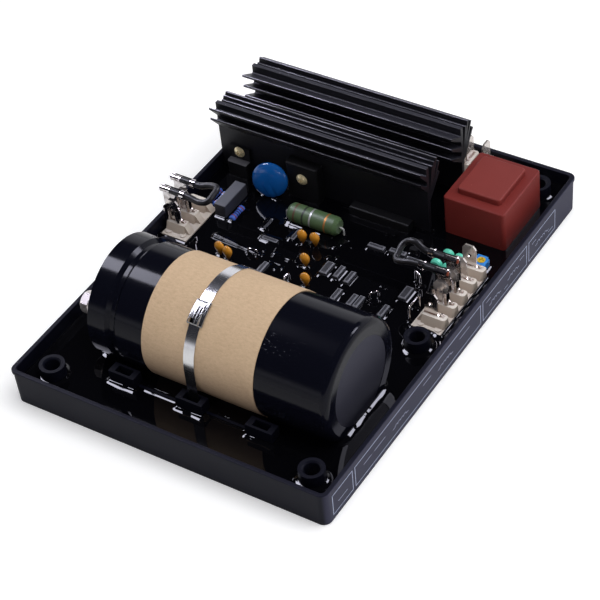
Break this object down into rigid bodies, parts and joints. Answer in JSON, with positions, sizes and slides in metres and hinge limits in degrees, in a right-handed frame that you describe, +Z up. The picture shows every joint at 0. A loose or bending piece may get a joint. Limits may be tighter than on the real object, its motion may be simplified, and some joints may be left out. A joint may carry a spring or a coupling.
{
  "type": "automatic voltage regulator",
  "caption": "Open potted tray with a strapped-down capacitor, finned heat sinks, a small transformer, blade terminal strips and a turning trimmer.",
  "frame": {"origin": "centre of the tray's flat bottom face", "axes": "+Z up out of the open tray, +Y along its length towards the heat sinks, +X along the capacitor's axis towards its plain end"},
  "size_m": [0.15, 0.209, 0.0555],
  "materials": {
    "tray_black": "moulded black plastic, fine satin texture",
    "resin_black": "glossy black potting resin",
    "board_green": "glass-fibre board",
    "can_aluminium": "drawn can",
    "sleeve_black": "glossy shrink sleeve",
    "disc_black": "matt fibre disc",
    "kraft_paper": "brown kraft paper",
    "deck_black": "moulded phenolic deck",
    "zinc_steel": "bright zinc plated",
    "stainless": "bright rolled stainless strap",
    "anodised_black": "black anodised extrusion",
    "device_black": "moulded epoxy",
    "yellow_zinc": "yellow zinc plated",
    "varistor_blue": "glossy dipped epoxy",
    "resistor_green": "satin cement coating",
    "film_grey": "moulded box",
    "box_grey": "moulded boxes",
    "resistor_blue": "lacquered body",
    "drop_orange": "dipped epoxy",
    "disc_mint": "dipped coating",
    "strip_cream": "moulded cream plastic",
    "tinned": "tinned brass sheet and wire",
    "wire_black": "black lead insulation",
    "transformer_red": "brick red casting resin",
    "trimmer_blue": "moulded body",
    "trimmer_yellow": "moulded rotor"
  },
  "bodies": {
    "root": {"back_tab_1": "tinned", "back_tab_2": "tinned", "back_terminal_strip": "strip_cream", "blue_resistor_1": "resistor_blue", "blue_resistor_2": "resistor_blue", "blue_resistor_3": "resistor_blue", "box_capacitors_crosswise": "box_grey", "box_capacitors_lengthways": "box_grey", "capacitor_can": "can_aluminium", "capacitor_end_disc": "disc_black", "capacitor_paper_wrap": "kraft_paper", "capacitor_sleeve": "sleeve_black", "capacitor_terminal_deck": "deck_black", "circuit_board": "board_green", "device_screws": "yellow_zinc", "disc_capacitor_1": "disc_mint", "disc_capacitor_2": "disc_mint", "disc_capacitor_3": "disc_mint", "disc_capacitor_4": "disc_mint", "drop_capacitor_1": "drop_orange", "drop_capacitor_2": "drop_orange", "drop_capacitor_3": "drop_orange", "drop_capacitor_4": "drop_orange", "drop_capacitor_5": "drop_orange", "drop_capacitor_6": "drop_orange", "film_capacitor": "film_grey", "front_heat_sink": "anodised_black", "large_transistor": "device_black", "left_jumper_wire": "wire_black", "left_receptacle_1": "tinned", "left_receptacle_2": "tinned", "left_tab_1": "tinned", "left_tab_2": "tinned", "left_terminal_strip": "strip_cream", "low_power_module": "device_black", "potting_resin": "resin_black", "power_resistor": "resistor_green", "rear_heat_sink": "anodised_black", "right_jumper_wire": "wire_black", "right_receptacle_1": "tinned", "right_receptacle_2": "tinned", "right_tab_1": "tinned", "right_tab_2": "tinned", "right_tab_3": "tinned", "right_tab_4": "tinned", "right_tab_5": "tinned", "right_terminal_strip": "strip_cream", "signal_transistors": "box_grey", "small_transistor": "device_black", "strap_band": "stainless", "strap_buckle": "stainless", "terminal_bolts": "zinc_steel", "terminal_washers": "zinc_steel", "transformer": "transformer_red", "tray": "tray_black", "trimmer_body": "trimmer_blue", "varistor_disc": "varistor_blue", "wire_links": "tinned"},
    "trimmer_screw": {"trimmer_rotor": "trimmer_yellow"}
  },
  "joints": [
    {"name": "trimmer_turn", "type": "hinge", "parent": "root", "child": "trimmer_screw", "pos_m": [0.0624, 0.0409, 0.0129], "axis": [0, 0, 1], "range_deg": [-135, 135]}
  ]
}
